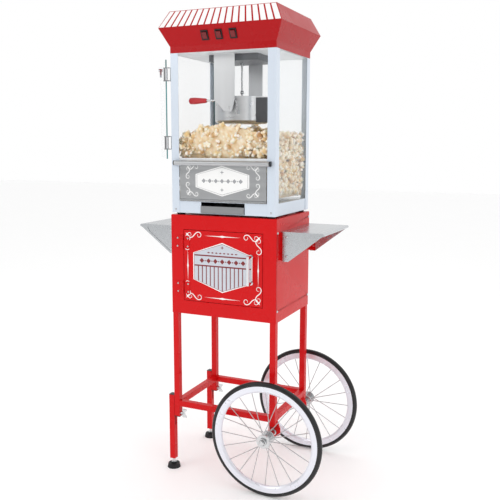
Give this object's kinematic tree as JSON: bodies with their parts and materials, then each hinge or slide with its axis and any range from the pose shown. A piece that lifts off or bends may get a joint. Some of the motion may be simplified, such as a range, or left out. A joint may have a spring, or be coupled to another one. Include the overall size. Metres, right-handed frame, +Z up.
{
  "type": "popcorn cart",
  "caption": "Red popcorn machine on a cart with spoked wheels, levelling legs, side shelves, glass case, tipping kettle and cabinet.",
  "frame": {"origin": "on the floor, under the middle of the whole object with its glass door standing open", "axes": "+Z up, +X to the right of a person facing the cabinet door, towards the wheels, -Y towards that person"},
  "size_m": [0.778, 0.4626, 1.55],
  "materials": {
    "cabinet_red": "gloss",
    "canopy_red": "gloss",
    "post_silver": "satin",
    "stainless": "brushed",
    "chrome": "polished",
    "zinc": "satin",
    "aluminium": "satin",
    "black_tyre": "matt",
    "black_rubber": "matt",
    "black_plastic": "gloss",
    "red_plastic": "gloss",
    "dark_housing": "satin",
    "dark_metal": "satin",
    "white_metal": "satin",
    "glass": "clear",
    "popcorn": "matt"
  },
  "bodies": {
    "cart": {"axle_brackets": "cabinet_red", "cabinet_floor": "cabinet_red", "cabinet_front_frame": "cabinet_red", "cabinet_hinge_leaves": "cabinet_red", "cabinet_left_panel": "cabinet_red", "cabinet_rear_panel": "cabinet_red", "cabinet_right_panel": "cabinet_red", "cabinet_top_panel": "cabinet_red", "canopy_roof": "canopy_red", "canopy_skirt": "canopy_red", "ceiling_plate": "white_metal", "corner_posts": "post_silver", "dome_screws": "zinc", "flap_pivot_ears": "dark_metal", "front_sill": "post_silver", "glass_door_pivots": "chrome", "glass_panes": "glass", "kettle_hangers": "stainless", "leg_tube_plugs": "black_plastic", "legs": "cabinet_red", "lower_stretchers": "cabinet_red", "machine_base": "post_silver", "popcorn_deck": "stainless", "popcorn_heap": "popcorn", "rubber_feet_and_gland": "black_rubber", "shelf_left": "stainless", "shelf_right": "stainless", "stirring_motor_housing": "dark_housing", "switch_bezels": "black_plastic", "wheel_stub_axles": "zinc"},
    "cabinet_door": {"cabinet_door": "cabinet_red", "door_hinge_leaves": "cabinet_red", "cabinet_door_handle": "chrome"},
    "glass_door": {"glass_door": "glass", "glass_door_fittings": "chrome"},
    "front_flap": {"front_flap": "stainless", "flap_bar": "post_silver"},
    "kernel_drawer": {"kernel_drawer": "stainless"},
    "kettle": {"kettle_pot": "stainless", "kettle_handle": "zinc", "kettle_grip": "red_plastic", "kettle_heater_box": "dark_metal"},
    "kettle_lid": {"kettle_lid_flap": "stainless"},
    "stirrer": {"stirrer": "stainless"},
    "stirrer_coupling": {"stirrer_coupling": "zinc"},
    "leg_extension_front": {"leg_extension_front": "cabinet_red"},
    "levelling_foot_front": {"levelling_foot_front": "black_rubber"},
    "clamp_screw_front": {"clamp_screw_front": "zinc"},
    "wheel_front": {"wheel_front_tyre": "black_tyre", "wheel_front_rim": "aluminium", "wheel_front_hub": "zinc"},
    "leg_extension_rear": {"leg_extension_rear": "cabinet_red"},
    "levelling_foot_rear": {"levelling_foot_rear": "black_rubber"},
    "clamp_screw_rear": {"clamp_screw_rear": "zinc"},
    "wheel_rear": {"wheel_rear_tyre": "black_tyre", "wheel_rear_rim": "aluminium", "wheel_rear_hub": "zinc"},
    "switch_rocker_1": {"switch_rocker_1": "red_plastic"},
    "switch_rocker_2": {"switch_rocker_2": "red_plastic"},
    "switch_rocker_3": {"switch_rocker_3": "red_plastic"}
  },
  "joints": [
    {"name": "cabinet_door_hinge", "type": "hinge", "parent": "cart", "child": "cabinet_door", "pos_m": [-0.12497, -0.1555, 0.732], "axis": [0, 0, -1], "range_deg": [0, 110]},
    {"name": "glass_door_hinge", "type": "hinge", "parent": "cart", "child": "glass_door", "pos_m": [-0.18296, -0.152, 1.245], "axis": [0, 0, -1], "range_deg": [-235, 24.5]},
    {"name": "front_flap_hinge", "type": "hinge", "parent": "cart", "child": "front_flap", "pos_m": [0.02104, -0.1608, 1.071], "axis": [-1, 0, 0], "range_deg": [0, 80]},
    {"name": "kernel_drawer_slide", "type": "slide", "parent": "cart", "child": "kernel_drawer", "axis": [0, -1, 0], "range_m": [0, 0.12]},
    {"name": "kettle_tip", "type": "hinge", "parent": "cart", "child": "kettle", "pos_m": [0.02104, 0, 1.25], "axis": [0, -1, 0], "range_deg": [0, 90]},
    {"name": "kettle_lid_hinge", "type": "hinge", "parent": "kettle", "child": "kettle_lid", "pos_m": [0.00903, 0, 1.2876], "axis": [0, 1, 0], "range_deg": [0, 80]},
    {"name": "stirrer_spin", "type": "hinge", "parent": "kettle", "child": "stirrer", "pos_m": [0.02104, 0, 1.3], "axis": [0, 0, 1], "continuous": true},
    {"name": "coupling_spin", "type": "hinge", "parent": "cart", "child": "stirrer_coupling", "pos_m": [0.02104, 0, 1.393], "axis": [0, 0, 1], "continuous": true},
    {"name": "leg_extension_front_slide", "type": "slide", "parent": "cart", "child": "leg_extension_front", "axis": [0, 0, 1], "range_m": [-0.038, 0.043]},
    {"name": "levelling_foot_front_turn", "type": "hinge", "parent": "leg_extension_front", "child": "levelling_foot_front", "pos_m": [-0.17847, -0.1405, 0.01], "axis": [0, 0, 1], "continuous": true},
    {"name": "clamp_screw_front_turn", "type": "hinge", "parent": "cart", "child": "clamp_screw_front", "pos_m": [-0.15746, -0.1405, 0.204], "axis": [1, 0, 0], "continuous": true},
    {"name": "wheel_front_spin", "type": "hinge", "parent": "cart", "child": "wheel_front", "pos_m": [0.19703, -0.198, 0.192], "axis": [0, 1, 0], "continuous": true},
    {"name": "leg_extension_rear_slide", "type": "slide", "parent": "cart", "child": "leg_extension_rear", "axis": [0, 0, 1], "range_m": [-0.038, 0.043]},
    {"name": "levelling_foot_rear_turn", "type": "hinge", "parent": "leg_extension_rear", "child": "levelling_foot_rear", "pos_m": [-0.17847, 0.1405, 0.01], "axis": [0, 0, 1], "continuous": true},
    {"name": "clamp_screw_rear_turn", "type": "hinge", "parent": "cart", "child": "clamp_screw_rear", "pos_m": [-0.15746, 0.1405, 0.204], "axis": [1, 0, 0], "continuous": true},
    {"name": "wheel_rear_spin", "type": "hinge", "parent": "cart", "child": "wheel_rear", "pos_m": [0.19703, 0.198, 0.192], "axis": [0, 1, 0], "continuous": true},
    {"name": "switch_rocker_1_press", "type": "hinge", "parent": "cart", "child": "switch_rocker_1", "pos_m": [-0.02996, -0.1655, 1.468], "axis": [-1, 0, 0], "range_deg": [0, 18]},
    {"name": "switch_rocker_2_press", "type": "hinge", "parent": "cart", "child": "switch_rocker_2", "pos_m": [0.01903, -0.1655, 1.468], "axis": [-1, 0, 0], "range_deg": [0, 18]},
    {"name": "switch_rocker_3_press", "type": "hinge", "parent": "cart", "child": "switch_rocker_3", "pos_m": [0.06803, -0.1655, 1.468], "axis": [-1, 0, 0], "range_deg": [0, 18]}
  ],
  "couplings": [
    {"joint": "coupling_spin", "follows": "stirrer_spin", "ratio": 1}
  ]
}
